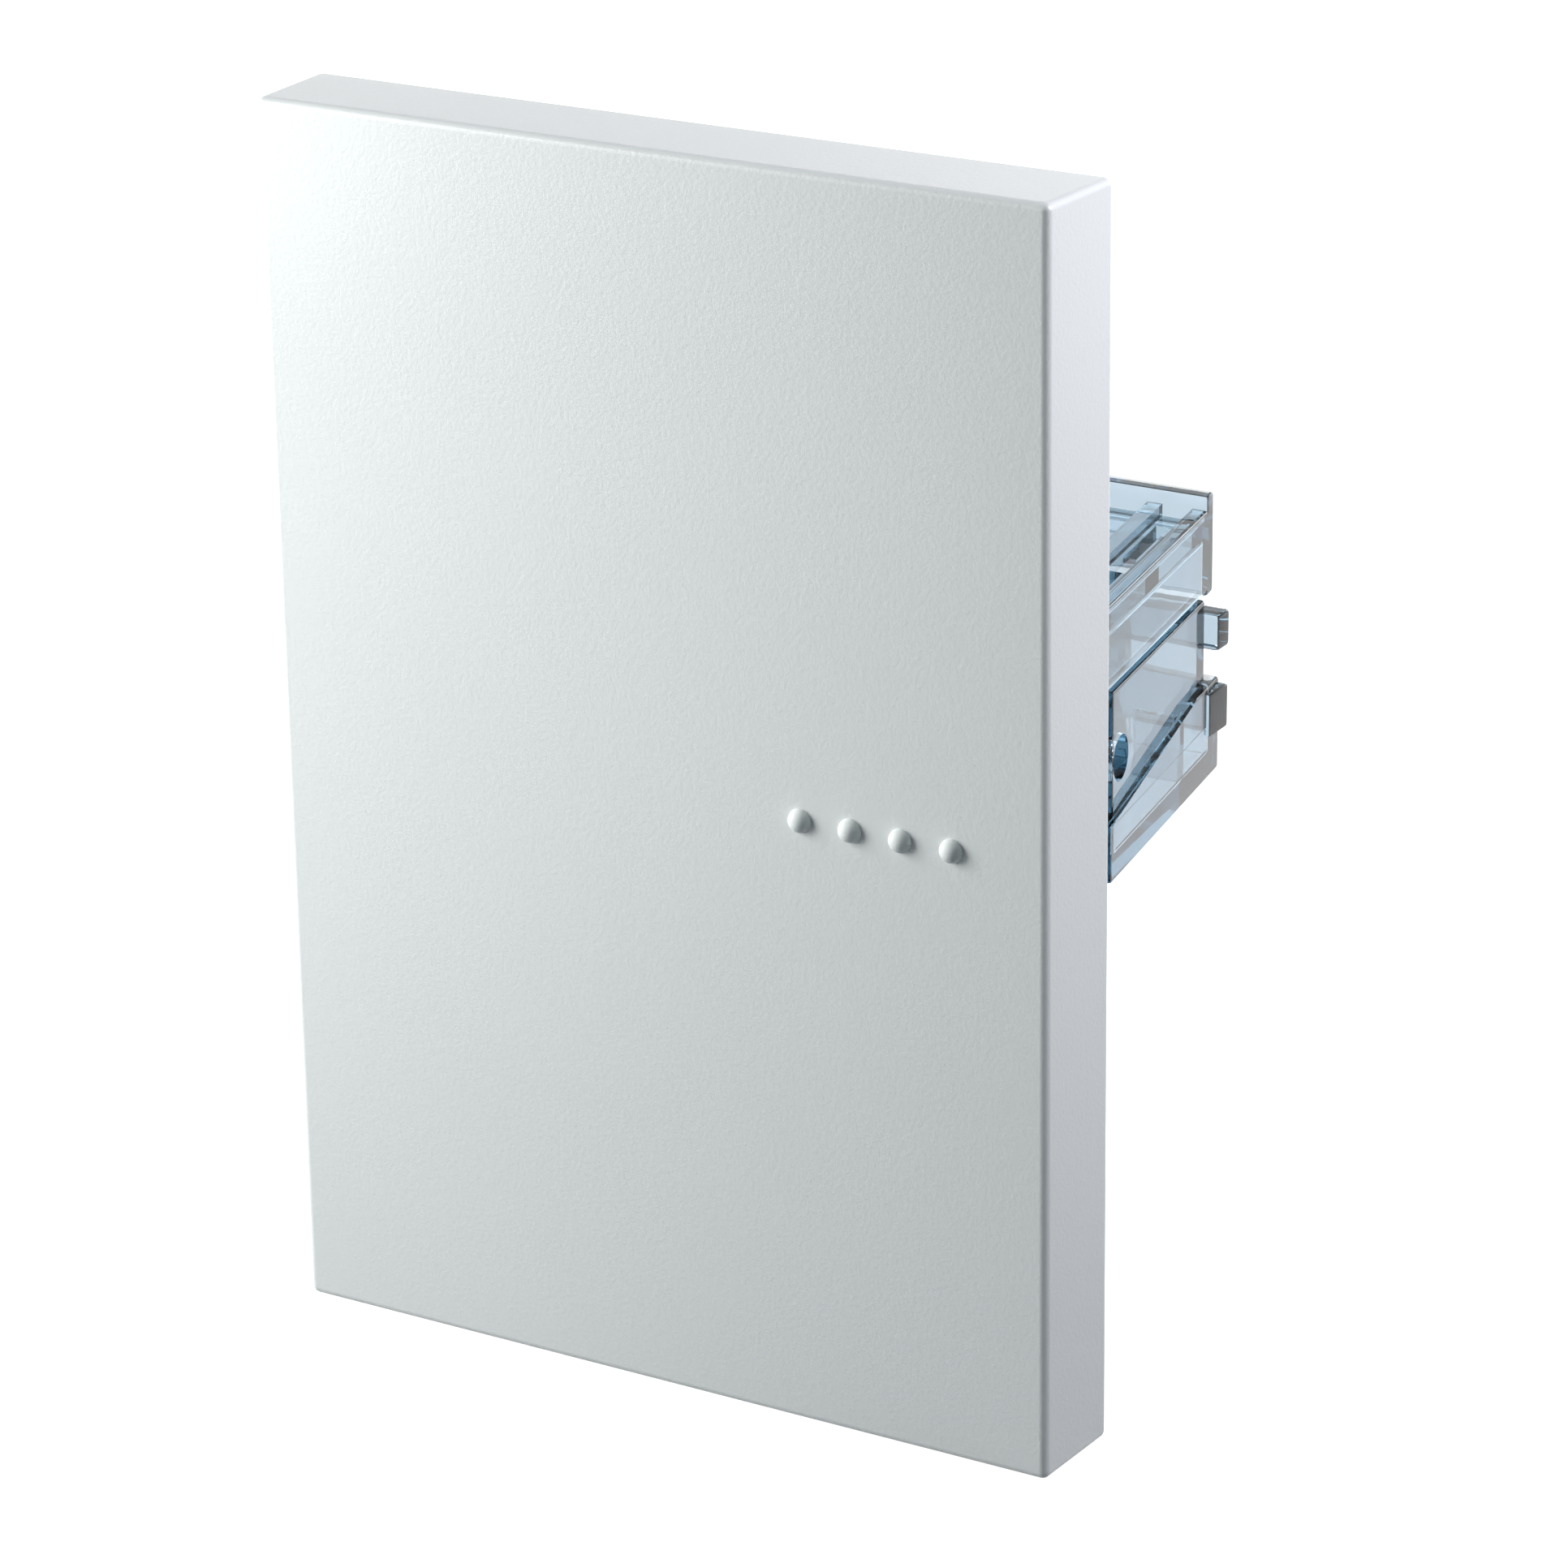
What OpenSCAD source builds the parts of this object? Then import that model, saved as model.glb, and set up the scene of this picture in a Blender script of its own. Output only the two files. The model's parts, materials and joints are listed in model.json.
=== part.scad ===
// In-wall backup battery unit: cover plate with a four-dome charge gauge, support frame and
// clear battery housing.
// The wall plane is y = 0. The room is on the -Y side, the wall box is on the +Y side, and +Z is up.

/* [Cover plate] */
// Width of the cover plate at its front face
plate_w = 82; // [78:1:90]
// Height of the cover plate
plate_h = 120; // [116:1:130]
// Depth of the cover plate from the wall to its front face
plate_t = 11; // [11:0.5:13]
// Wall thickness of the cover plate
plate_wall = 2; // [1.6:0.1:2]
// How much each side leans out towards the wall
side_draft = 0.5; // [0:0.1:1]

/* [Charge gauge] */
// Number of domes in the gauge row
dome_count = 4; // [4:1:4]
// Diameter of each dome
dome_d = 2.3; // [2.2:0.1:3]
// How far each dome stands out of the cover plate
dome_proud = 1.1; // [0.8:0.1:1.2]
// Distance from dome to dome
dome_pitch = 5.2; // [5:0.1:5.6]
// Place of the first dome, to the right of the middle
dome_x0 = 15.8; // [15:0.1:16.5]

/* [Support frame] */
// Distance between the two wall screws
screw_spacing = 83.5; // [83.5:0.5:90]
// Diameter of the wall screw holes
screw_hole_d = 4; // [3.5:0.1:4.5]
// Thickness of the frame
frame_t = 2.5; // [2:0.1:2.5]

/* [Clear rear block] */
// Depth of the clear block behind the wall plane
block_depth = 42; // [42:1:44]
// Half width of the block at its rear face
rear_half_w = 31; // [31:0.5:32]
// How much the block widens at each side per mm towards the wall plane
side_taper = 0.17; // [0.15:0.01:0.18]
// Wall thickness of the clear mouldings
clear_wall = 2; // [1.8:0.1:2]

/* [Cells] */
// Diameter of one cell
cell_d = 14; // [13.8:0.1:14]
// Length of one cell
cell_l = 43; // [42.5:0.1:43]

/* [Hidden] */
$fn = 48;
front_y = -plate_t;
inner_y = front_y + plate_wall;
inner_half_w = plate_w / 2 - plate_wall;
inner_half_h = plate_h / 2 - plate_wall;
board_t = 1.6;
board_back_y = -frame_t - 1;
board_front_y = board_back_y - board_t;
dome_r = dome_d / 2;
stem_r = 1;
stem_back_y = board_front_y - 1.5;
dome_xs = [for (i = [0:dome_count - 1]) dome_x0 + i * dome_pitch];
frame_w = 77;
frame_h = 114;
pocket_xs = [[5.5, 18.5], [20, 34.5]];
pocket_zs = [[30, 41], [42.5, 53.5], [-53.5, -42.5], [-41, -36]];
pocket_depth = 1;

tray_z0 = -9.4;
tray_z1 = 0;
tray_y0 = 9.5;
floor_z = tray_z0 + clear_wall;
bay_z1 = 8.3;
bay_x0 = -29.5;
bay_x1 = 21.5;
bay_y0 = 7;
bay_y1 = block_depth - 2.4;
bay_wall = 1.6;
mid_y0 = 12;
mid_x_in = 0.8;
mid_hole_r = 2.2;
mid_hole = [14.4, 1.2];

cell_z = 4;
cell_r = cell_d / 2;
cell_y = [16.2, 30.8];
contact_t = 0.4;
contact_half = 4.5;
cell_end_x = [bay_x0 + bay_wall + contact_t, bay_x1 - bay_wall - contact_t];
cell_mid_x = (cell_end_x[0] + cell_end_x[1]) / 2;
spring_l = cell_end_x[1] - cell_end_x[0] - cell_l;

lid_z0 = 8.8;
lid_x_in = 0.8;
lid_front_z0 = 10.3;
lid_z1 = 17;
lid_y0 = 9.5;
lid_rear_z0 = 8.4;
lid_rear_z1 = 18.4;
lid_axis = [6.5, 12.5];
knuckle_r = 2.5;
knuckle_x = 22;
knuckle_w = 4;
ear_w = 3;
lid_pin_r = 1;

latch_axis = [41.4, 2];
latch_pin_r = 0.75;
latch_ear_r = 1.6;
latch_z0 = 2.9;
latch_z1 = 6.6;
latch_y0 = 40.4;
latch_y1 = 43;
latch_half_w = rear_half_w + 0.6;
hook_x = 10;
hook_w = 6;

flange_t = 2;
housing_screw_x = 34.8;
housing_screw_z = [-14, 24.5];
board_screw_x = [-30, 8];
board_screw_z = [-33, 10];
terminal_x = [for (i = [0:3]) -19 + i * 5.4];
terminal_w = 5.2;
terminal_z = [-30, -17];
terminal_back_y = 9;
wire_r = 1.5;
wire_z = -20.5;
button_z = -26.2;
button_size = 3.2;
button_gap = 0.2;

// Half width of the clear block at a distance y behind the wall plane
function side_x(y) = rear_half_w + side_taper * (block_depth - y);

// A box from its lowest to its highest corner
module span(low, high) {
    translate(low) cube(high - low);
}

// A round bar along X from x0 to x1
module bar_x(r, x0, x1, y, z) {
    translate([x0, y, z]) rotate([0, 90, 0]) cylinder(r = r, h = x1 - x0);
}

// A round bar along Y from y0 to y1
module bar_y(r, x, z, y0, y1) {
    translate([x, y1, z]) rotate([90, 0, 0]) cylinder(r = r, h = y1 - y0);
}

// A rectangle with round corners, centred
module rounded(w, h, r) {
    square([w - 2 * r, h], center = true);
    square([w, h - 2 * r], center = true);
    for (x = [-1, 1], z = [-1, 1])
        translate([x * (w / 2 - r), z * (h / 2 - r)]) circle(r = r);
}

// A panel with round corners from y0 to y1, centred on x and z
module panel(w, h, r, y0, y1, z = 0) {
    translate([0, y1, z]) rotate([90, 0, 0]) linear_extrude(y1 - y0) rounded(w, h, r);
}

// A slab with the clear block's tapering plan, pulled in from its sides by inset
module tapered(y0, y1, z0, z1, inset = 0) {
    translate([0, 0, z0]) linear_extrude(z1 - z0) polygon([
        [-side_x(y0) + inset, y0],
        [side_x(y0) - inset, y0],
        [side_x(y1) - inset, y1],
        [-side_x(y1) + inset, y1]
    ]);
}

// A block whose plan is a plate with leaning sides
module drafted(half_front, half_back, y0, y1, half_h) {
    translate([0, 0, -half_h]) linear_extrude(2 * half_h)
        polygon([[-half_front, y0], [half_front, y0], [half_back, y1], [-half_back, y1]]);
}

// A pan-head screw along +Y with a cross recess in its head, the head's underside at y
module pan_screw(x, z, y, head_r, head_h, shank_r, length) {
    difference() {
        union() {
            bar_y(head_r, x, z, y - head_h, y);
            bar_y(shank_r, x, z, y - 0.1, y + length);
        }
        for (turn = [0, 90])
            translate([x, y - head_h, z]) rotate([0, turn, 0])
                cube([head_r * 1.2, head_h, head_r * 0.32], center = true);
    }
}

// ---- Cover ----

module cover_plate() {
    snap_x = 24;
    color("white") {
        difference() {
            drafted(plate_w / 2, plate_w / 2 + side_draft, front_y, 0, plate_h / 2);
            drafted(inner_half_w, inner_half_w + side_draft, inner_y, 1, inner_half_h);
            for (x = dome_xs)
                bar_y(dome_r, x, 0, front_y - 1, inner_y + 1);
        }
        // snap ribs that the frame's spring clips bear on
        for (x = [-snap_x, snap_x], s = [-1, 1])
            span([x - 5, -6, s > 0 ? inner_half_h - 0.8 : -inner_half_h],
                 [x + 5, -5, s > 0 ? inner_half_h : -inner_half_h + 0.8]);
    }
}

// One light guide: a low dome, its shank through the cover, a collar behind it and a stem to the LED
module gauge_dome(x) {
    ball_r = (dome_r * dome_r + dome_proud * dome_proud) / (2 * dome_proud);
    collar_r = dome_r + 0.7;
    collar_t = 0.6;
    color("whitesmoke") translate([x, front_y, 0]) rotate([90, 0, 0]) rotate_extrude() {
        intersection() {
            translate([0, dome_proud - ball_r]) circle(r = ball_r);
            square([dome_r, dome_proud + 1]);
        }
        translate([0, -plate_wall]) square([dome_r, plate_wall]);
        translate([0, -plate_wall - collar_t]) square([collar_r, collar_t]);
        translate([0, front_y - stem_back_y]) square([stem_r, stem_back_y - front_y - plate_wall]);
    }
}

// ---- Gauge and charge electronics ----

module light_shield() {
    half = 2.6;
    color("dimgray") difference() {
        span([dome_xs[0] - half, inner_y + 1.1, -3], [dome_xs[dome_count - 1] + half, board_front_y, 3]);
        for (x = dome_xs)
            bar_y(1.8, x, 0, inner_y, board_front_y + 1);
    }
}

module gauge_leds() {
    color("lightyellow") for (x = dome_xs)
        span([x - 0.8, board_front_y - 0.7, -0.5], [x + 0.8, board_front_y, 0.5]);
}

module gauge_board() {
    color("darkgreen") span([12, board_front_y, -7.5], [36.5, board_back_y, 7.5]);
}

module gauge_ribbon() {
    color("orange") span([6.5, board_front_y - 0.3, -2], [13, board_front_y, 2]);
}

module charge_board() {
    color("darkgreen") difference() {
        span([-32, board_front_y, -35], [10, board_back_y, 12]);
        for (x = board_screw_x, z = board_screw_z)
            bar_y(1.1, x, z, board_front_y - 1, board_back_y + 1);
    }
}

module charge_controller() {
    color("black") {
        span([-14, board_front_y - 1.3, -6], [-7, board_front_y - 0.1, 1]);
        for (i = [0:4], s = [-1, 1])
            span([s > 0 ? -7 : -15, board_front_y - 0.4, -5.4 + i * 1.3],
                 [s > 0 ? -6 : -14, board_front_y, -4.8 + i * 1.3]);
    }
}

module power_inductor() {
    color("gray") {
        span([-28, board_front_y - 0.6, -8], [-20, board_front_y, 0]);
        bar_y(3.6, -24, -4, board_front_y - 2.8, board_front_y - 0.6);
    }
}

module smoothing_capacitors() {
    color("silver") for (z = [-29.5, -20.5])
        bar_y(3.15, 5.4, z, board_back_y, board_back_y + 9);
}

module board_screws() {
    color("silver") for (x = board_screw_x, z = board_screw_z)
        pan_screw(x, z, board_front_y, 1.7, 1.2, 0.95, board_t + 2.5);
}

// One push-in terminal, with its wire entry above the pocket of its release button
module terminal(i) {
    x = terminal_x[i];
    color("lightgray") difference() {
        span([x - terminal_w / 2, board_back_y, terminal_z[0]],
             [x + terminal_w / 2, terminal_back_y, terminal_z[1]]);
        bar_y(wire_r, x, wire_z, terminal_back_y - 8, terminal_back_y + 1);
        translate([x, terminal_back_y - 2.4, button_z])
            cube([button_size + 2 * button_gap, 5, button_size + 2 * button_gap], center = true);
    }
}

module release_button(i) {
    tip_y = terminal_back_y + 1.2;
    color("darkorange") difference() {
        translate([terminal_x[i], (tip_y + terminal_back_y - 3) / 2, button_z])
            cube([button_size, tip_y - terminal_back_y + 3, button_size], center = true);
        // screwdriver notch
        translate([terminal_x[i], tip_y, button_z]) cube([2, 1, 0.7], center = true);
    }
}

// ---- Frame ----

module support_frame() {
    color("gainsboro") difference() {
        union() {
            panel(frame_w, frame_h, 3, -frame_t, 0);
            difference() {
                panel(frame_w, frame_h, 3, -frame_t - 1.6, -frame_t);
                panel(frame_w - 2.4, frame_h - 2.4, 1.8, -frame_t - 2, -frame_t + 1);
            }
            for (x = board_screw_x, z = board_screw_z)
                bar_y(2, x, z, board_back_y, -frame_t);
            for (x = [14, 34.5])
                bar_y(2, x, -5.5, board_back_y, -frame_t);
        }
        // terminal window
        span([-22.8, -frame_t - 1.5, -33.5], [9.4, 1, -16]);
        // contact strip window
        span([-29.5, -frame_t - 1.5, -4], [-25.5, 1, 12.5]);
        // shallow pockets in the back, with ribs between them
        for (s = [0, 1], px = pocket_xs, pz = pocket_zs) mirror([s, 0, 0])
            span([px[0], -pocket_depth, pz[0]], [px[1], 1, pz[1]]);
        // holes for the two wall screws
        for (z = [-screw_spacing / 2, screw_spacing / 2])
            bar_y(screw_hole_d / 2, 0, z, -frame_t - 1, 1);
        for (x = board_screw_x, z = board_screw_z)
            bar_y(0.95, x, z, board_back_y - 1, 1);
        for (x = [-housing_screw_x, housing_screw_x], z = housing_screw_z)
            bar_y(1.3, x, z, -frame_t - 1, 1);
    }
}

module cover_clips() {
    clip_x = 24;
    color("silver") for (x = [-clip_x, clip_x], s = [-1, 1]) {
        z_out = frame_h / 2 - 0.4;
        // foot on the frame, and a springy arm that runs forward along the snap rib
        mirror([0, 0, s > 0 ? 0 : 1]) {
            span([x - 4, -frame_t - 0.5, z_out - 7], [x + 4, -frame_t, z_out - 1.2]);
            span([x - 4, -7.6, z_out - 1.7], [x + 4, -frame_t, z_out - 1.2]);
            bar_x(0.45, x - 4, x + 4, -7.4, z_out - 1.2);
        }
    }
}

module housing_screws() {
    color("silver") for (x = [-housing_screw_x, housing_screw_x], z = housing_screw_z)
        pan_screw(x, z, -frame_t, 2.2, 1.5, 1.15, frame_t + 3.4);
}

// ---- Clear rear block ----

module side_pads() {
    // grip pads low on the rear corners
    for (s = [0, 1]) mirror([s, 0, 0])
        span([rear_half_w - 1, 38, -5], [rear_half_w + 1, block_depth, -0.6]);
}

module flange() {
    difference() {
        panel(75, 44, 3, 0, flange_t, 5.2);
        span([-29.5, -1, -4], [-25.5, flange_t + 1, 12.5]);
        span([-20, -1, -6], [20, flange_t + 1, 8]);
    }
    for (x = [-housing_screw_x, housing_screw_x], z = housing_screw_z)
        bar_y(2.4, x, z, 0, 4);
}

module bay() {
    // outer box of the cell bay, joined to the flange by two webs and a floor
    span([bay_x0, bay_y0, tray_z0], [bay_x1, bay_y1, bay_z1]);
    for (x = [bay_x0 + 6, bay_x1 - bay_wall])
        span([x, 1, -9], [x + bay_wall, bay_y0 + 1, bay_z1]);
}

module bay_hollow() {
    x0 = bay_x0 + bay_wall;
    x1 = bay_x1 - bay_wall;
    // seats that follow the round cells, and the open space above them
    for (y = cell_y) {
        bar_x(cell_r + 0.2, x0, x1, y, cell_z);
        span([x0, y - cell_r - 0.2, cell_z], [x1, y + cell_r + 0.2, bay_z1 + 1]);
    }
    span([x0, cell_y[0], -2.4], [x1, cell_y[1], bay_z1 + 1]);
    // hollow spaces under the seats, open at the bottom of the tray
    for (i = [0:3])
        span([x0 + 0.8 + i * 12, bay_y0 + 2.4, tray_z0 - 1], [x0 + 11.2 + i * 12, bay_y1 - 2.4, -5]);
}

module rear_housing() {
    axis_y = lid_axis[0];
    axis_z = lid_axis[1];
    color("lightsteelblue") difference() {
        union() {
            flange();
            difference() {
                tapered(tray_y0, block_depth, tray_z0, tray_z1);
                tapered(tray_y0 + clear_wall, block_depth - clear_wall, floor_z, tray_z1 + 1,
                        clear_wall);
                // the tray's rim falls away towards the plate
                translate([-50, 0, 0]) rotate([90, 0, 90]) linear_extrude(100)
                    polygon([[8, -4], [36, tray_z1], [36, 1], [8, 1]]);
            }
            // middle walls, set in from the tray's sides
            difference() {
                tapered(mid_y0, bay_y1, tray_z1 - 4.5, bay_z1, mid_x_in);
                tapered(mid_y0 - 1, bay_y1 - bay_wall, tray_z1 - 5, bay_z1 + 1, mid_x_in + bay_wall);
                // a round hole through each side wall
                for (s = [0, 1]) mirror([s, 0, 0])
                    bar_x(mid_hole_r, 31, 40, mid_hole[0], mid_hole[1]);
            }
            side_pads();
            // cross rib of the tray at its right and left ends
            for (s = [0, 1]) mirror([s, 0, 0])
                span([26, 31.2, floor_z - 0.1], [30.6, 32.4, tray_z1 - 1]);
            bay();
            // ears of the lid hinge
            for (x = [-knuckle_x - knuckle_w / 2 - 0.4 - ear_w, knuckle_x + knuckle_w / 2 + 0.4]) {
                bar_x(knuckle_r, x, x + ear_w, axis_y, axis_z);
                span([x, 1, axis_z - knuckle_r], [x + ear_w, axis_y, axis_z + knuckle_r]);
            }
            // ears of the latch hinge
            for (x = [-18, 15]) {
                bar_x(latch_ear_r, x, x + 3, latch_axis[0], latch_axis[1]);
                span([x, bay_y1 + 0.4, tray_z1 - 1],
                     [x + 3, latch_axis[0] + latch_ear_r, latch_axis[1]]);
            }
        }
        bay_hollow();
        bar_x(lid_pin_r + 0.02, -40, 40, axis_y, axis_z);
        bar_x(latch_pin_r + 0.02, -20, 20, latch_axis[0], latch_axis[1]);
        for (x = [-housing_screw_x, housing_screw_x], z = housing_screw_z)
            bar_y(1.15, x, z, -1, 3.6);
        // way through for the contact strips
        span([-29.5, -1, 1], [-25.5, bay_y0 + bay_wall + 1, bay_z1 + 4.5]);
    }
}

module battery_lid() {
    axis_y = lid_axis[0];
    axis_z = lid_axis[1];
    top_z = lid_z1 - 1.2;
    color("lightsteelblue") difference() {
        union() {
            difference() {
                tapered(lid_y0, block_depth, lid_z0, lid_z1, lid_x_in);
                tapered(lid_y0 + clear_wall, block_depth - clear_wall, lid_z0 - 1, top_z - 1.8,
                        lid_x_in + clear_wall);
                // the front wall stops above the cells
                span([bay_x0 - 1, lid_y0 - 1, lid_z0 - 1],
                     [bay_x1 + 1, lid_y0 + clear_wall + 1, lid_front_z0]);
                // sunk top between the side ribs and the long ribs
                for (s = [0, 1]) mirror([s, 0, 0]) {
                    lid_channel(2.4, 5.6, top_z);
                    lid_channel(7.2, 17, top_z);
                }
                tapered(lid_y0 + 2, block_depth - clear_wall, top_z, lid_z1 + 1, 19);
            }
            // rear wall, standing above the top and reaching down over the gap
            tapered(block_depth - clear_wall, block_depth, lid_rear_z0, lid_rear_z1, lid_x_in);
            // knuckles of the hinge
            for (s = [0, 1]) mirror([s, 0, 0]) {
                x = knuckle_x - knuckle_w / 2;
                bar_x(knuckle_r, x, x + knuckle_w, axis_y, axis_z);
                span([x, axis_y, axis_z - 1.2], [x + knuckle_w, lid_y0 + 1, axis_z + knuckle_r]);
            }
        }
        bar_x(lid_pin_r + 0.06, -40, 40, axis_y, axis_z);
        // vent slots in the sunk channels
        for (s = [0, 1]) mirror([s, 0, 0])
            for (y = [13, 27])
                vent_slot(y, y + 10);
        // catch windows for the latch
        for (x = [-hook_x, hook_x])
            span([x - hook_w / 2 - 0.5, block_depth - clear_wall - 1, 9.8],
                 [x + hook_w / 2 + 0.5, block_depth + 1, 12]);
    }
}

// A channel in the lid's top between two distances in from the block's side
module lid_channel(inset_a, inset_b, z0) {
    y0 = lid_y0 + 2;
    y1 = block_depth - clear_wall;
    translate([0, 0, z0]) linear_extrude(3) polygon([
        [side_x(y0) - inset_b, y0],
        [side_x(y0) - inset_a, y0],
        [side_x(y1) - inset_a, y1],
        [side_x(y1) - inset_b, y1]
    ]);
}

// A slot through the lid's top beside the long rib
module vent_slot(y0, y1) {
    translate([0, 0, lid_z0 + 1]) linear_extrude(lid_z1) polygon([
        [side_x(y0) - 5.2, y0],
        [side_x(y0) - 3.8, y0],
        [side_x(y1) - 3.8, y1],
        [side_x(y1) - 5.2, y1]
    ]);
}

module lid_pin() {
    half = knuckle_x + knuckle_w / 2 + 0.4 + ear_w + 0.6;
    color("silver") bar_x(lid_pin_r, -half, half, lid_axis[0], lid_axis[1]);
}

module latch_bar() {
    arm_y = block_depth + 0.6;
    color("lightsteelblue") difference() {
        union() {
            span([-latch_half_w, latch_y0, latch_z0], [latch_half_w, latch_y1, latch_z1]);
            for (x = [-14.6, 11.6]) {
                bar_x(latch_ear_r, x, x + 3, latch_axis[0], latch_axis[1]);
                span([x, latch_y0, latch_axis[1]], [x + 3, latch_y1, latch_z0 + 1]);
            }
            // springy arms behind the lid's rear wall
            for (x = [-hook_x, hook_x]) {
                span([x - hook_w / 2, arm_y, latch_z1 - 1], [x + hook_w / 2, arm_y + 1.3, 12]);
                span([x - hook_w / 2, latch_y0 + 1.7, latch_z1 - 1],
                     [x + hook_w / 2, arm_y + 1.3, latch_z1 + 1]);
            }
        }
        bar_x(latch_pin_r + 0.06, -20, 20, latch_axis[0], latch_axis[1]);
        // clearance over the housing's ears
        for (x = [-18, 15])
            span([x - 0.35, latch_y0 - 1, latch_axis[1]],
                 [x + 3.35, latch_y1 + 1, latch_axis[1] + latch_ear_r + 0.6]);
    }
}

module latch_pin() {
    color("silver") bar_x(latch_pin_r, -18.4, 18.4, latch_axis[0], latch_axis[1]);
}

// ---- Cells and contacts ----

// Where one cell lies: its button end touches a contact, and its flat end rests on a spring.
// The second cell lies the other way round.
module place_cell(i) {
    translate([cell_mid_x, cell_y[i], cell_z]) mirror([i, 0, 0])
        translate([cell_end_x[1] - cell_mid_x - cell_l, 0, 0]) children();
}

// One cell's sleeved body
module cell(i) {
    color("royalblue") place_cell(i) bar_x(cell_r, 0.5, cell_l - 1.3, 0, 0);
}

module cell_caps() {
    // flat end and button end of both cells
    color("silver") for (i = [0, 1]) place_cell(i) {
        bar_x(cell_r - 0.6, 0, 0.5, 0, 0);
        bar_x(cell_r - 0.8, cell_l - 1.3, cell_l - 1, 0, 0);
        bar_x(2.8, cell_l - 1, cell_l, 0, 0);
    }
}

// Points of a coil that narrows from r0 to r1 over a length, around +X
function coil_point(t, turns, r0, r1, length) =
    let (a = 360 * turns * t, r = r0 + (r1 - r0) * t) [length * t, r * cos(a), r * sin(a)];

module coil(turns, r0, r1, length, wire) {
    steps = 16 * turns;
    sides = 6;
    points = [
        for (i = [0:steps])
            let (
                c = coil_point(i / steps, turns, r0, r1, length),
                a = 360 * turns * i / steps,
                out = [0, cos(a), sin(a)]
            )
            for (k = [0:sides - 1])
                c + wire * (out * cos(360 * k / sides) + [1, 0, 0] * sin(360 * k / sides))
    ];
    faces = concat(
        [[for (k = [0:sides - 1]) k]],
        [for (i = [0:steps - 1], k = [0:sides - 1])
            let (m = (k + 1) % sides, a = i * sides, b = a + sides)
                [a + k, b + k, b + m, a + m]],
        [[for (k = [sides - 1:-1:0]) steps * sides + k]]
    );
    polyhedron(points, faces);
}

module contact_springs() {
    wire = 0.35;
    color("goldenrod") for (i = [0, 1])
        translate([cell_mid_x, cell_y[i], cell_z]) mirror([i, 0, 0])
            translate([cell_end_x[0] - cell_mid_x + wire, 0, 0])
                coil(3, 4.2, 2.4, spring_l - 2 * wire, wire);
}

module contact_strips() {
    x0 = bay_x0 + bay_wall;
    x1 = x0 + contact_t;
    color("silver") {
        // spring end of the front cell, with its strip forward to the charge board
        span([x0, cell_y[0] - contact_half, cell_z - contact_half],
             [x1, cell_y[0] + contact_half, cell_z + contact_half]);
        span([x0, board_back_y, cell_z - 1], [x1, cell_y[0] - contact_half, cell_z + 1]);
        // button end of the rear cell, with its strip over the front cell's plate
        span([x0, cell_y[1] - contact_half, cell_z - contact_half],
             [x1, cell_y[1] + contact_half, cell_z + contact_half + 1.5]);
        span([x0, board_back_y, cell_z + contact_half + 0.4],
             [x1, cell_y[1] - contact_half, cell_z + contact_half + 1.5]);
    }
}

module contact_bridge() {
    x1 = bay_x1 - bay_wall;
    color("goldenrod")
        span([x1 - contact_t, cell_y[0] - contact_half, cell_z - contact_half],
             [x1, cell_y[1] + contact_half, cell_z + contact_half]);
}

cover_plate();
gauge_dome(dome_xs[0]);  // gauge_dome_1
gauge_dome(dome_xs[1]);  // gauge_dome_2
gauge_dome(dome_xs[2]);  // gauge_dome_3
gauge_dome(dome_xs[3]);  // gauge_dome_4
light_shield();
gauge_leds();
gauge_board();
gauge_ribbon();
charge_board();
charge_controller();
power_inductor();
smoothing_capacitors();
board_screws();
terminal(0);  // terminal_1
terminal(1);  // terminal_2
terminal(2);  // terminal_3
terminal(3);  // terminal_4
release_button(0);  // release_button_1
release_button(1);  // release_button_2
release_button(2);  // release_button_3
release_button(3);  // release_button_4
support_frame();
cover_clips();
housing_screws();
rear_housing();
battery_lid();
lid_pin();
latch_bar();
latch_pin();
cell(0);  // cell_front
cell(1);  // cell_rear
cell_caps();
contact_springs();
contact_strips();
contact_bridge();
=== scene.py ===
"""Flush wall battery unit: materials, detail pieces, stage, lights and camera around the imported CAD."""

import json
import math

import bmesh
import bpy
from mathutils import Matrix, Vector

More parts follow.
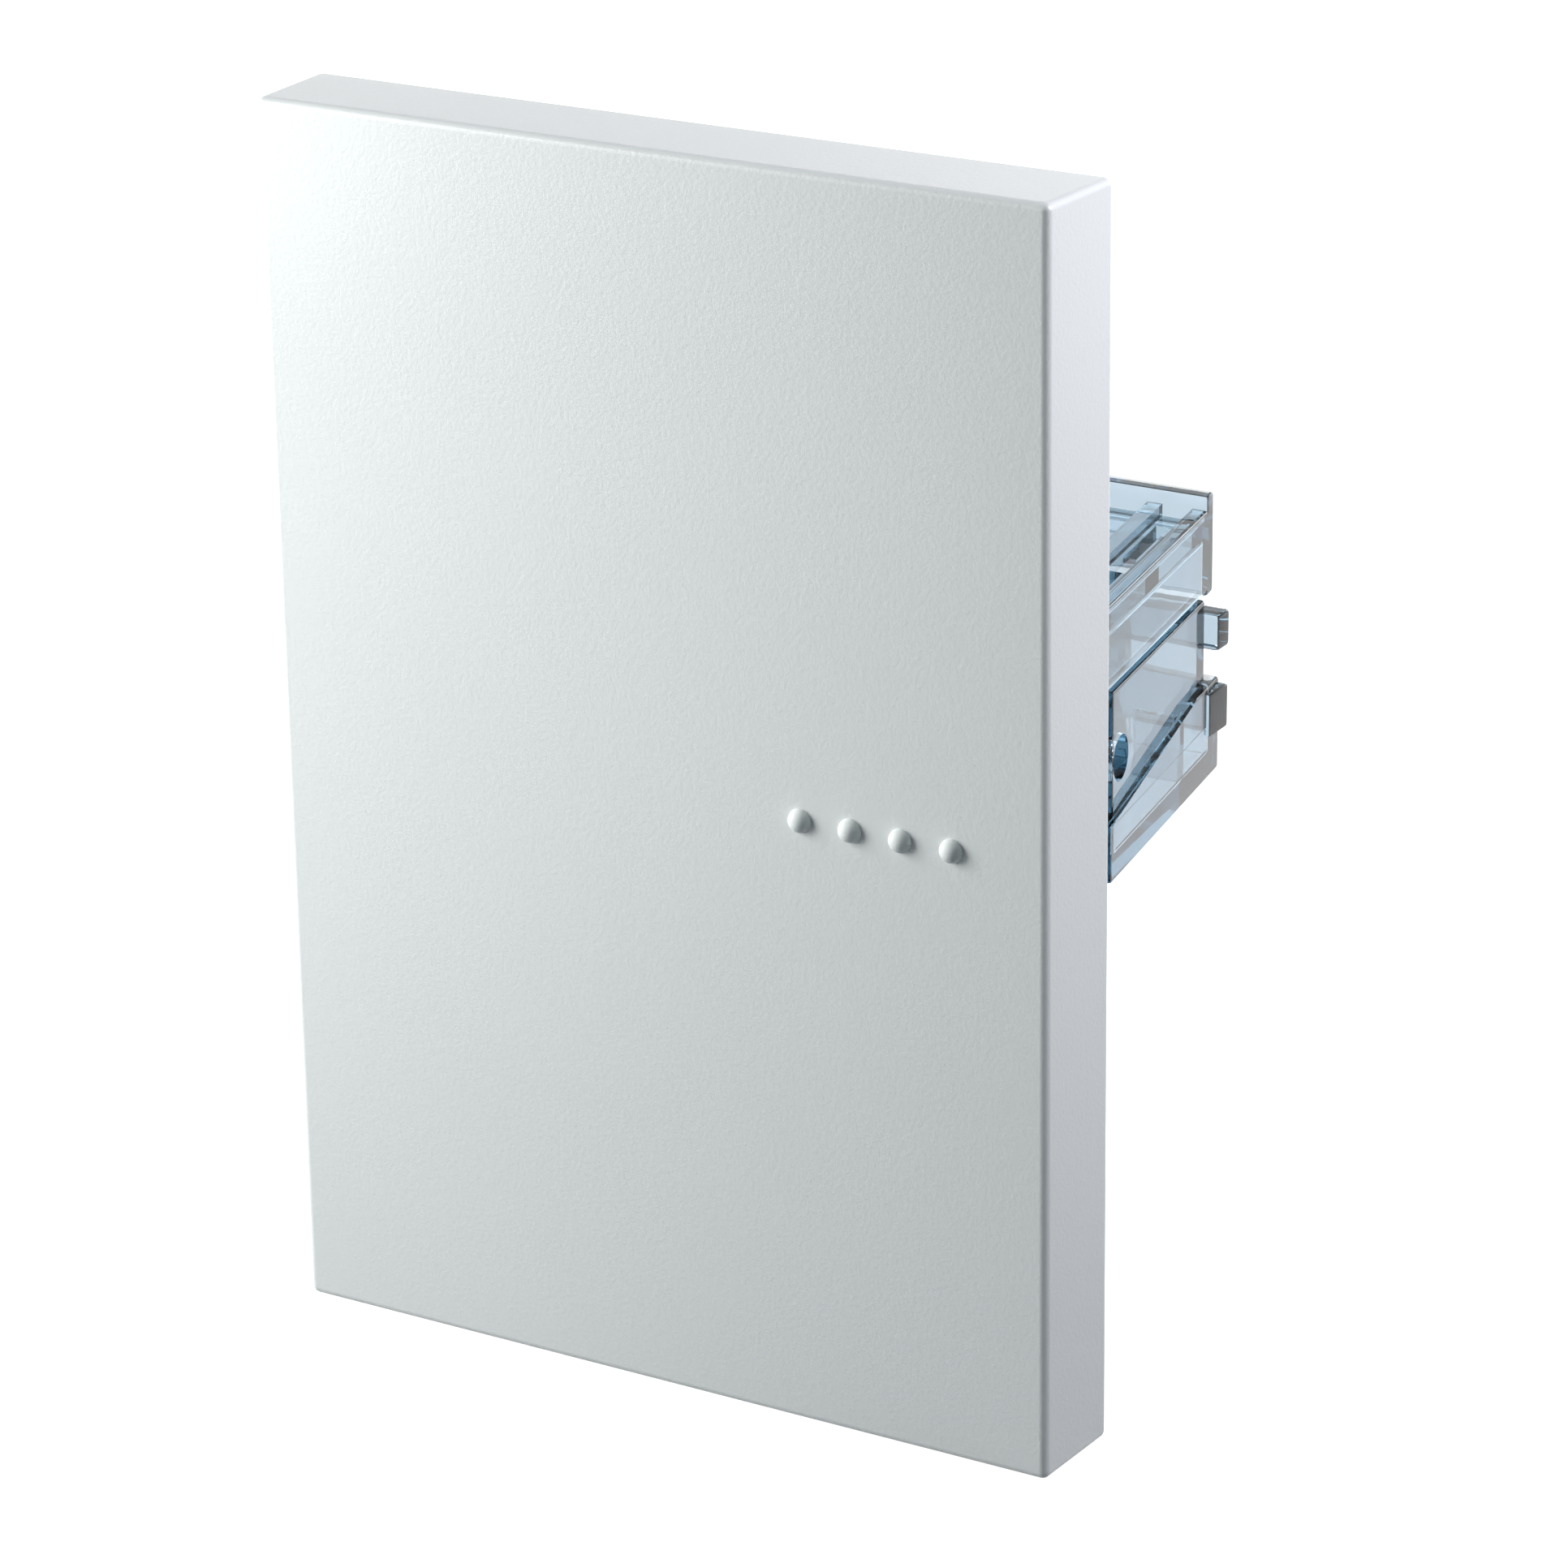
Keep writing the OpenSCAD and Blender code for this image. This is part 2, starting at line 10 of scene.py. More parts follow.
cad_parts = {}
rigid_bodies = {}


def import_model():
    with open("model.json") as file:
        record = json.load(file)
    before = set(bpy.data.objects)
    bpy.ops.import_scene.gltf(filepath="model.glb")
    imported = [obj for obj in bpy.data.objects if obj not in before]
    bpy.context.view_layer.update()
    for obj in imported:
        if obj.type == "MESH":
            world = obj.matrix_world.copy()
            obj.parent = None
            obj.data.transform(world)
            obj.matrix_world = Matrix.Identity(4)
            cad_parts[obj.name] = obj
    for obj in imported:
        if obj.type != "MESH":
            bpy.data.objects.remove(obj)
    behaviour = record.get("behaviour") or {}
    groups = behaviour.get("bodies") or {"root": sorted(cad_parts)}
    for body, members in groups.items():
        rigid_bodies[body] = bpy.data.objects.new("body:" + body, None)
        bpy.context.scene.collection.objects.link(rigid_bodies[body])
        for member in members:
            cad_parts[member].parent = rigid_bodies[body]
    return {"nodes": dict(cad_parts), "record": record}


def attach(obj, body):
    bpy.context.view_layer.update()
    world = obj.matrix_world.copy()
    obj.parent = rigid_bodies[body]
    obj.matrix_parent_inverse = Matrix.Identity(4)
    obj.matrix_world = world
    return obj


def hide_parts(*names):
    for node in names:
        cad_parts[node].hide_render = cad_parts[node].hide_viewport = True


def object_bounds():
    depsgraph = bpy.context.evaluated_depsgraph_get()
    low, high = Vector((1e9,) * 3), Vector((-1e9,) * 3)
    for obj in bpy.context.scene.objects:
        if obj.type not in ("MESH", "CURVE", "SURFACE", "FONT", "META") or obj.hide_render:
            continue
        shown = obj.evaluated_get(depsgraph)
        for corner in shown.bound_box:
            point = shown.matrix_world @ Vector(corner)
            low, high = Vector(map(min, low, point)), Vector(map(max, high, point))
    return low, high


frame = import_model()
cad_bounds = [list(v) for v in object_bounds()]
NODES = frame["nodes"]
MM = 0.001

# Places that several pieces share, in mm
DOME_XS = [15.8, 21.0, 26.2, 31.4]
TERMINAL_XS = [-19, -13.6, -8.2, -2.8]
LID_AXIS = (6.5, 12.5)  # y, z
LATCH_AXIS = (41.4, 2)  # y, z
BOARD_SCREWS = [(x, z) for x in (-30, 8) for z in (-33, 10)]
HOUSING_SCREWS = [(x, z) for x in (-34.8, 34.8) for z in (-14, 24.5)]
BLOCK_DEPTH = 42
REAR_HALF_WIDTH = 31
SIDE_TAPER = 0.17
CELLS = [(16.2, -23.5, 1), (30.8, 15.5, -1)]  # y, place of the flat end, direction to the button end
CELL_Z = 4

scene = bpy.context.scene
scene.view_settings.view_transform = "Standard"
scene.view_settings.look = "None"


# ---- Camera ----

def make_camera():
    data = bpy.data.cameras.new("camera")
    data.lens = 132.67
    data.sensor_width = 36
    data.clip_start, data.clip_end = 0.01, 50
    cam = bpy.data.objects.new("camera", data)
    scene.collection.objects.link(cam)
    right = Vector((0.85769921, 0.51395928, -0.01406884))
    up = Vector((-0.16860097, 0.30700209, 0.93665545))
    back = Vector((0.48572192, -0.80099661, 0.34996948))
    turn = Matrix((right, up, back)).transposed()
    cam.matrix_world = Matrix.Translation((0.265946, -0.426193, 0.184621)) @ turn.to_4x4()
    scene.camera = cam


# ---- Materials ----

def new_material(name):
    m = bpy.data.materials.new(name)
    m.use_nodes = True
    return m, m.node_tree, m.node_tree.nodes["Principled BSDF"]


def put(shader, **values):
    for key, value in values.items():
        shader.inputs[key.replace("_", " ")].default_value = value


def object_noise(tree, scale, detail=3.0, rough=0.55, stretch=(1, 1, 1)):
    """Noise in the piece's own coordinates, scale in features per metre"""
    where = tree.nodes.new("ShaderNodeTexCoord")
    turn = tree.nodes.new("ShaderNodeMapping")
    turn.inputs["Scale"].default_value = stretch
    tree.links.new(where.outputs["Object"], turn.inputs["Vector"])
    noise = tree.nodes.new("ShaderNodeTexNoise")
    noise.inputs["Scale"].default_value = scale
    noise.inputs["Detail"].default_value = detail
    noise.inputs["Roughness"].default_value = rough
    tree.links.new(turn.outputs["Vector"], noise.inputs["Vector"])
    return noise.outputs["Fac"]


def ramp(tree, source, low, high, a, b):
    """Maps source from low..high to the values or colours a..b"""
    node = tree.nodes.new("ShaderNodeValToRGB")
    node.color_ramp.elements[0].position = low
    node.color_ramp.elements[1].position = high
    for element, value in zip(node.color_ramp.elements, (a, b)):
        element.color = (value, value, value, 1) if isinstance(value, (int, float)) else (*value, 1)
    tree.links.new(source, node.inputs["Fac"])
    return node.outputs["Color"]


def bump(tree, shader, source, distance, strength=1.0):
    node = tree.nodes.new("ShaderNodeBump")
    node.inputs["Distance"].default_value = distance
    node.inputs["Strength"].default_value = strength
    tree.links.new(source, node.inputs["Height"])
    tree.links.new(node.outputs["Normal"], shader.inputs["Normal"])


def plastic(name, colour, rough, spread=0.05, grain=3000, depth=0.00002, tone=0.04, coat=0.0,
            shine=0.5):
    """Moulded or painted plastic: grain in bump and roughness, and a slow drift of its tone"""
    m, tree, shader = new_material(name)
    fine = object_noise(tree, grain)
    slow = object_noise(tree, 30)
    dark = tuple(c * (1 - tone) for c in colour)
    roughness = ramp(tree, fine, 0.3, 0.7, rough - spread, rough + spread)
    tree.links.new(ramp(tree, slow, 0.35, 0.65, dark, colour), shader.inputs["Base Color"])
    tree.links.new(roughness, shader.inputs["Roughness"])
    bump(tree, shader, fine, depth)
    put(shader, Coat_Weight=coat, Coat_Roughness=0.15, Specular_IOR_Level=shine)
    return m


def clear(name, tint, depth_tint, density, rough=0.03):
    """Clear moulded plastic whose thick paths take on its tint"""
    m, tree, shader = new_material(name)
    put(shader, Base_Color=(*tint, 1), Transmission_Weight=1.0, IOR=1.49)
    slow = object_noise(tree, 160, detail=2)
    tree.links.new(ramp(tree, slow, 0.3, 0.7, rough * 0.6, rough * 1.6), shader.inputs["Roughness"])
    bump(tree, shader, slow, 0.00004, 0.6)
    volume = tree.nodes.new("ShaderNodeVolumeAbsorption")
    volume.inputs["Color"].default_value = (*depth_tint, 1)
    volume.inputs["Density"].default_value = density
    out = tree.nodes["Material Output"]
    tree.links.new(volume.outputs["Volume"], out.inputs["Volume"])
    return m


def metal(name, colour, rough, along=(1, 1, 1), grain=1500):
    """Bare metal with a fine grain, which can be drawn out along an axis"""
    m, tree, shader = new_material(name)
    put(shader, Metallic=1.0)
    fine = object_noise(tree, grain, stretch=along)
    dark = tuple(c * 0.86 for c in colour)
    tree.links.new(ramp(tree, fine, 0.3, 0.7, dark, colour), shader.inputs["Base Color"])
    tree.links.new(ramp(tree, fine, 0.3, 0.7, rough - 0.06, rough + 0.08), shader.inputs["Roughness"])
    bump(tree, shader, fine, 0.00001)
    return m


MATERIALS = {
    "cover_white": plastic("cover_white", (0.645, 0.672, 0.667), 0.42, 0.06, 2600, 0.00003, 0.015,
                           0.15),
    "dome_pearl": plastic("dome_pearl", (0.84, 0.88, 0.86), 0.35, 0.03, 2500, 0.00001, 0.02, 0.0,
                          0.08),
    "shield_grey": plastic("shield_grey", (0.12, 0.12, 0.13), 0.6),
    "led_white": plastic("led_white", (0.92, 0.90, 0.72), 0.2),
    "board_green": plastic("board_green", (0.03, 0.16, 0.07), 0.35, 0.08, 900, 0.00003, 0.25),
    "ribbon_amber": plastic("ribbon_amber", (0.62, 0.30, 0.04), 0.3),
    "chip_black": plastic("chip_black", (0.03, 0.03, 0.035), 0.55, 0.1, 5000, 0.00003),
    "ferrite_grey": plastic("ferrite_grey", (0.16, 0.16, 0.17), 0.7, 0.1, 4000, 0.00004),
    "can_aluminium": metal("can_aluminium", (0.72, 0.73, 0.74), 0.3),
    "screw_steel": metal("screw_steel", (0.62, 0.62, 0.60), 0.32),
    "terminal_grey": plastic("terminal_grey", (0.50, 0.52, 0.53), 0.5),
    "button_orange": plastic("button_orange", (0.80, 0.27, 0.03), 0.4),
    "frame_grey": plastic("frame_grey", (0.70, 0.71, 0.72), 0.55, 0.08, 2200, 0.00003),
    "clip_steel": metal("clip_steel", (0.66, 0.66, 0.66), 0.25, (1, 1, 6)),
    "clear_blue": clear("clear_blue", (0.555, 0.625, 0.68), (0.14, 0.42, 0.55), 110),
    "pin_steel": metal("pin_steel", (0.68, 0.68, 0.68), 0.22, (0.1, 1, 1)),
    "cell_sleeve": plastic("cell_sleeve", (0.10, 0.22, 0.40), 0.25, 0.05, 400, 0.00004, 0.1, 0.4),
    "cell_metal": metal("cell_metal", (0.70, 0.70, 0.68), 0.28),
    "strip_nickel": metal("strip_nickel", (0.74, 0.76, 0.78), 0.3, (1, 6, 1)),
    "contact_brass": metal("contact_brass", (0.76, 0.62, 0.34), 0.28, (1, 6, 1)),
}


# ---- Solids for the detailed pieces, in mm ----

def solid(verts, faces, bevel=0.0, segments=2):
    """A closed bmesh solid with rounded edges, in metres"""
    bm = bmesh.new()
    made = [bm.verts.new([c * MM for c in v]) for v in verts]
    for f in faces:
        bm.faces.new([made[i] for i in f])
    bmesh.ops.recalc_face_normals(bm, faces=bm.faces)
    if bevel:
        sharp = [e for e in bm.edges if e.calc_face_angle(0) > math.radians(30)]
        bmesh.ops.bevel(bm, geom=sharp, offset=bevel * MM, segments=segments, profile=0.5,
                        affect="EDGES", clamp_overlap=True)
    return bm


def prism(points, low, high, axis="Z", bevel=0.0, segments=2):
    """A polygon drawn out along an axis. Its points are (x, y) for Z, (x, z) for Y and (y, z) for X"""
    place = {"Z": lambda p, h: (p[0], p[1], h), "Y": lambda p, h: (p[0], h, p[1]),
             "X": lambda p, h: (h, p[0], p[1])}[axis]
    n = len(points)
    verts = [place(p, low) for p in points] + [place(p, high) for p in points]
    faces = [list(range(n)), list(range(2 * n - 1, n - 1, -1))]
    faces += [[i, (i + 1) % n, n + (i + 1) % n, n + i] for i in range(n)]
    return solid(verts, faces, bevel, segments)


def block(low, high, bevel=0.0, segments=2):
    x0, y0, z0 = low
    x1, y1, z1 = high
    return prism([(x0, y0), (x1, y0), (x1, y1), (x0, y1)], z0, z1, "Z", bevel, segments)


def bar(axis, r, low, high, c, bevel=0.0, sides=40):
    """A round bar along an axis. c is its centre in the other two coordinates"""
    turns = [2 * math.pi * i / sides for i in range(sides)]
    ring = [(c[0] + r * math.cos(a), c[1] + r * math.sin(a)) for a in turns]
    return prism(ring, low, high, axis, bevel, 2)


def block_side(y):
    """Half width of the clear block at a distance behind the wall plane"""
    return REAR_HALF_WIDTH + SIDE_TAPER * (BLOCK_DEPTH - y)


def tapered(y0, y1, z0, z1, inset=0.0, bevel=0.0, segments=2):
    """A slab with the block's tapering plan, pulled in from its sides by inset"""
    a, b = block_side(y0) - inset, block_side(y1) - inset
    return prism([(-a, y0), (a, y0), (b, y1), (-b, y1)], z0, z1, "Z", bevel, segments)


def strip(y0, y1, z0, z1, inset_a, inset_b, side):
    """A slab that follows the block's right (1) or left (-1) side between two insets"""
    points = [(side * (block_side(y0) - inset_b), y0), (side * (block_side(y0) - inset_a), y0),
              (side * (block_side(y1) - inset_a), y1), (side * (block_side(y1) - inset_b), y1)]
    return prism(points, z0, z1)


def rounded_panel(w, h, r, y0, y1, z, bevel=0.0, steps=8):
    points = []
    for cx, cz, start in ((1, 1, 0), (-1, 1, 90), (-1, -1, 180), (1, -1, 270)):
        for i in range(steps + 1):
            a = math.radians(start + 90 * i / steps)
            points.append((cx * (w / 2 - r) + r * math.cos(a),
                           z + cz * (h / 2 - r) + r * math.sin(a)))
    return prism(points, y0, y1, "Y", bevel)


def helper_object(bm, name, home):
    obj = bpy.data.objects.new(name, plain_mesh(name, bm))
    home.objects.link(obj)
    return obj


def combine(name, adds, cuts=()):
    """Joins the solids in adds, takes away those in cuts, and returns the clean mesh"""
    home = bpy.data.collections.new("work")
    scene.collection.children.link(home)
    groups = []
    base = helper_object(adds[0], "base", home)
    for label, solids in (("add", adds[1:]), ("cut", cuts)):
        group = bpy.data.collections.new(label)
        home.children.link(group)
        for bm in solids:
            helper_object(bm, label, group)
        groups.append(group)
        if len(solids):
            mod = base.modifiers.new(label, "BOOLEAN")
            mod.operation = "UNION" if label == "add" else "DIFFERENCE"
            mod.operand_type = "COLLECTION"
            mod.collection = group
            mod.solver = "EXACT"
    bpy.context.view_layer.update()
    mesh = bpy.data.meshes.new_from_object(base.evaluated_get(bpy.context.evaluated_depsgraph_get()))
    mesh.name = name
    for group in groups:
        for o in list(group.objects):
            bpy.data.objects.remove(o)
        bpy.data.collections.remove(group)
    bpy.data.objects.remove(base)
    bpy.data.collections.remove(home)
    return mesh


def as_solid(mesh):
    bm = bmesh.new()
    bm.from_mesh(mesh)
    return bm


def plain_mesh(name, bm):
    mesh = bpy.data.meshes.new(name)
    bm.to_mesh(mesh)
    bm.free()
    return mesh


def joined(name, solids):
    """Several separate solids in one mesh"""
    bm = bmesh.new()
    for part in solids:
        mesh = plain_mesh("part", part)
        bm.from_mesh(mesh)
        bpy.data.meshes.remove(mesh)
    return plain_mesh(name, bm)


def show(name, mesh, slot, body="root", stands_for=(), angle=32):
    """Puts a finished mesh in the scene with its material, smooth where it is round"""
    bm = bmesh.new()
    bm.from_mesh(mesh)
    bmesh.ops.remove_doubles(bm, verts=bm.verts, dist=2e-6)
    bmesh.ops.dissolve_degenerate(bm, edges=bm.edges, dist=2e-6)
    bm.to_mesh(mesh)
    bm.free()
    mesh.materials.clear()
    mesh.materials.append(MATERIALS[slot])
    mesh.polygons.foreach_set("use_smooth", [True] * len(mesh.polygons))
    mesh.set_sharp_from_angle(angle=math.radians(angle))
    obj = bpy.data.objects.new(name, mesh)
    scene.collection.objects.link(obj)
    even = obj.modifiers.new("normals", "WEIGHTED_NORMAL")
    even.keep_sharp = True
    even.weight = 100
    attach(obj, body)
    if stands_for:
        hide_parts(*stands_for)
    if slot == "clear_blue":
        # light passes through the clear pieces onto what is behind them
        obj.visible_shadow = False
        obj.visible_diffuse = False


# ---- Cover ----

def cover_plate():
    outer = prism([(-41, -11), (41, -11), (41.5, 0), (-41.5, 0)], -60, 60, "Z", 0.75, 5)
    hollow = prism([(-39, -9), (39, -9), (39.5, 1), (-39.5, 1)], -58, 58, "Z", 0.4, 2)
    holes = [bar("Y", 1.15, -13, -8, (x, 0), 0, 48) for x in DOME_XS]
    ribs = [block([x - 5, -6, z0], [x + 5, -5, z1], 0.2)
            for x in (-24, 24) for z0, z1 in ((57.2, 58.5), (-58.5, -57.2))]
    shell = as_solid(combine("cover_plate_hollow", [outer], [hollow] + holes))
    show("cover_plate_shell", combine("cover_plate_shell", [shell] + ribs), "cover_white", "cover",
         ["cover_plate"])


# ---- Clear rear block ----

def rear_housing():
    adds = [rounded_panel(75, 44, 3, 0.05, 2, 5.2, 0.3)]
    adds += [bar("Y", 2.4, 0.5, 4, place, 0.25) for place in HOUSING_SCREWS]
    rim = prism([(8, -4), (36, 0), (36, 1), (8, 1)], -50, 50, "X")
    tray = combine("tray", [tapered(9.5, 42, -9.4, 0, 0, 0.35)],
                   [tapered(11.5, 40, -7.4, 1, 2, 0.6, 3), rim])
    holes = [bar("X", 2.2, x, x + 9, (14.4, 1.2)) for x in (31, -40)]
    mid = combine("mid", [tapered(12, 39.6, -4.5, 8.3, 0.8, 0.3)],
                  [tapered(11, 38, -5, 9.3, 2.4)] + holes)
    adds += [as_solid(tray), as_solid(mid)]
    # grip pads on the rear corners, and the tray's cross ribs
    adds += [block([s0, 38, -5], [s1, 42, -0.6], 0.3) for s0, s1 in ((30, 32), (-32, -30))]
    adds += [block([s0, 31.2, -7.5], [s1, 32.4, -1], 0.15) for s0, s1 in ((26, 30.6), (-30.6, -26))]
    # cell bay and its webs
    adds.append(block([-29.5, 7, -9.4], [21.5, 39.6, 8.3], 0.35))
    adds += [block([x, 1, -9], [x + 1.6, 8, 8.3], 0.2) for x in (-23.5, 19.9)]
    # ears of the lid hinge and of the latch hinge
    for x in (-27.4, 24.4):
        adds.append(bar("X", 2.5, x, x + 3, LID_AXIS, 0.3))
        adds.append(block([x, 1, 10], [x + 3, 6.5, 15], 0.2))
    for x in (-18, 15):
        adds.append(bar("X", 1.6, x, x + 3, LATCH_AXIS, 0.2))
        adds.append(block([x, 40, -1], [x + 3, 43, 2], 0.15))
    cuts = []
    for y, _, _ in CELLS:
        cuts.append(bar("X", 7.2, -27.9, 19.9, (y, CELL_Z), 0, 64))
        cuts.append(block([-27.9, y - 7.2, 4], [19.9, y + 7.2, 9.3]))
    cuts.append(block([-27.9, 16.2, -2.4], [19.9, 30.8, 9.3]))
    cuts += [block([-27.1 + i * 12, 9.4, -10.4], [-16.7 + i * 12, 37.2, -5], 0.4) for i in range(4)]
    cuts.append(bar("X", 1.02, -40, 40, LID_AXIS))
    cuts.append(bar("X", 0.77, -20, 20, LATCH_AXIS))
    cuts += [bar("Y", 1.15, -1, 3.6, place) for place in HOUSING_SCREWS]
    cuts.append(block([-29.5, -1, -4], [-25.5, 3, 12.5]))
    cuts.append(block([-29.5, -1, 1], [-25.5, 9.6, 12.8]))
    cuts.append(block([-20, -1, -6], [20, 2.6, 8], 0.3))
    show("rear_housing_clear", combine("rear_housing_clear", adds, cuts), "clear_blue", "root",
         ["rear_housing"])


def battery_lid():
    front = block([-30.5, 8.5, 7.8], [22.5, 12.5, 10.3])
    top = combine("lid_top", [tapered(9.5, 42, 8.8, 17, 0.8, 0.35)],
                  [tapered(11.5, 40, 7.8, 14, 2.8, 0.5, 3), front])
    adds = [as_solid(top), tapered(40, 42, 8.4, 18.4, 0.8, 0.3)]
    for x in (-24, 20):
        adds.append(bar("X", 2.5, x, x + 4, LID_AXIS, 0.3))
        adds.append(block([x, 6.5, 11.3], [x + 4, 10.5, 15], 0.3))
    cuts = []
    for s in (1, -1):
        cuts.append(strip(11.5, 40, 15.8, 19, 2.4, 5.6, s))
        cuts.append(strip(11.5, 40, 15.8, 19, 7.2, 17, s))
        cuts += [strip(y, y + 10, 11.3, 28, 3.8, 5.2, s) for y in (13, 27)]
        cuts.append(block([10 * s - 3.5, 39, 9.8], [10 * s + 3.5, 43, 12]))
    cuts.append(tapered(11.5, 40, 15.8, 18, 19))
    cuts.append(bar("X", 1.06, -40, 40, LID_AXIS))
    show("battery_lid_clear", combine("battery_lid_clear", adds, cuts), "clear_blue", "lid",
         ["battery_lid"])


def latch_bar():
    adds = [block([-31.6, 40.4, 2.9], [31.6, 43, 6.6], 0.4)]
    for x in (-14.6, 11.6):
        adds.append(bar("X", 1.6, x, x + 3, LATCH_AXIS, 0.2))
        adds.append(block([x, 40.4, 2], [x + 3, 43, 3.9], 0.2))
    for x in (-10, 10):
        adds.append(block([x - 3, 42.6, 5.6], [x + 3, 43.9, 12], 0.3))
        adds.append(block([x - 3, 42.1, 5.6], [x + 3, 43.9, 7.6], 0.3))
    cuts = [bar("X", 0.81, -20, 20, LATCH_AXIS)]
    cuts += [block([x - 0.35, 39.4, 2], [x + 3.35, 44, 4.2]) for x in (-18, 15)]
    show("latch_bar_clear", combine("latch_bar_clear", adds, cuts), "clear_blue", "latch", ["latch_bar"])


# ---- Frame and terminals ----

def support_frame():
    ring = combine("frame_ring", [rounded_panel(77, 114, 3, -4.1, -2.3, 0, 0.3)],
                   [rounded_panel(74.6, 111.6, 1.8, -5, -2, 0)])
    adds = [rounded_panel(77, 114, 3, -2.5, 0, 0, 0.35), as_solid(ring)]
    adds += [bar("Y", 2, -3.5, -2.3, place, 0.15) for place in BOARD_SCREWS]
    adds += [bar("Y", 2, -3.5, -2.3, (x, -5.5), 0.15) for x in (14, 34.5)]
    cuts = [block([-22.8, -4, -33.5], [9.4, 1, -16], 0.6), block([-29.5, -4, -4], [-25.5, 1, 12.5], 0.6)]
    for x0, x1 in ((5.5, 18.5), (20, 34.5), (-18.5, -5.5), (-34.5, -20)):
        cuts += [block([x0, -1, z0], [x1, 1, z1], 0.45, 3)
                 for z0, z1 in ((30, 41), (42.5, 53.5), (-53.5, -42.5), (-41, -36))]
    cuts += [bar("Y", 2, -3.5, 1, (0, z)) for z in (-41.75, 41.75)]
    cuts += [bar("Y", 0.95, -4.5, 1, place) for place in BOARD_SCREWS]
    cuts += [bar("Y", 1.3, -3.5, 1, place) for place in HOUSING_SCREWS]
    show("support_frame_moulded", combine("support_frame_moulded", adds, cuts), "frame_grey", "root",
         ["support_frame"])


def terminal(i):
    x = TERMINAL_XS[i]
    name = f"terminal_{i + 1}"
    body = [block([x - 2.6, -3.5, -30], [x + 2.6, 9, -17], 0.3)]
    cuts = [bar("Y", 1.5, 1, 10, (x, -20.5)),
            block([x - 1.8, 4.1, -28], [x + 1.8, 10, -24.4], 0.2)]
    show(name + "_body", combine(name + "_body", body, cuts), "terminal_grey", "root", [name])
    button = [block([x - 1.6, 6, -27.8], [x + 1.6, 10.2, -24.6], 0.3)]
    notch = [block([x - 1, 9.7, -26.55], [x + 1, 11, -25.85])]
    name = f"release_button_{i + 1}"
    show(name + "_cap", combine(name + "_cap", button, notch), "button_orange", f"button_{i + 1}",
         [name])


# ---- Cells and springs ----

def skinned(rings):
    """A closed body through rings of points in mm"""
    bm = bmesh.new()
    loops = [[bm.verts.new([c * MM for c in point]) for point in ring] for ring in rings]
    sides = len(loops[0])
    for a, b in zip(loops, loops[1:]):
        for k in range(sides):
            bm.faces.new([a[k], a[(k + 1) % sides], b[(k + 1) % sides], b[k]])
    bm.faces.new(loops[0])
    bm.faces.new(loops[-1])
    bmesh.ops.recalc_face_normals(bm, faces=bm.faces)
    return bm


def lathe(profile, y, x0, turn, sides=64):
    """A closed turned body around a line along X. The profile is (distance from the flat end, radius)"""
    angles = [2 * math.pi * k / sides for k in range(sides)]
    return skinned([[(x0 + turn * u, y + r * math.cos(a), CELL_Z + r * math.sin(a)) for a in angles]
                    for u, r in profile])


# Profiles of a cell: distance from its flat end, and radius
SLEEVE = [(0.5, 6.2), (0.5, 6.6), (0.65, 6.85), (0.95, 7.0), (38.9, 7.0), (39.3, 6.92), (39.6, 6.7),
          (39.85, 6.6), (40.1, 6.7), (40.4, 6.9), (40.8, 6.98), (41.3, 6.9), (41.6, 6.65), (41.7, 6.35),
          (41.7, 6.0)]
FLAT_END = [(0, 5.6), (0.1, 6.0), (0.3, 6.25), (0.5, 6.3)]
BUTTON_END = [(41.7, 6.1), (41.95, 5.9), (42, 5.6), (42, 3.3), (42.1, 3.0), (42.35, 2.8), (42.8, 2.75),
              (42.95, 2.6), (43, 2.3)]


def cells():
    caps = []
    for i, (y, x0, turn) in enumerate(CELLS):
        name = ("cell_front", "cell_rear")[i]
        show(name + "_sleeve", plain_mesh(name, lathe(SLEEVE, y, x0, turn)), "cell_sleeve", "root", [name])
        caps += [lathe(FLAT_END, y, x0, turn), lathe(BUTTON_END, y, x0, turn)]
    show("cell_end_caps", joined("cell_end_caps", caps), "cell_metal", "root", ["cell_caps"])


def spring(y, x0, turn, turns=3, wire=0.33, length=3.3):
    """A coil along X that narrows from a radius of 4.2 to 2.4"""
    steps, sides = 36 * turns, 10
    rings = []
    for i in range(steps + 1):
        t = i / steps
        a = 2 * math.pi * turns * t
        ring = []
        for k in range(sides):
            b = 2 * math.pi * k / sides
            r = 4.2 - 1.8 * t + wire * math.cos(b)
            ring.append((x0 + turn * (0.35 + length * t + wire * math.sin(b)),
                         y + r * math.cos(a), CELL_Z + r * math.sin(a)))
        rings.append(ring)
    return skinned(rings)


# ---- Parts on the boards ----

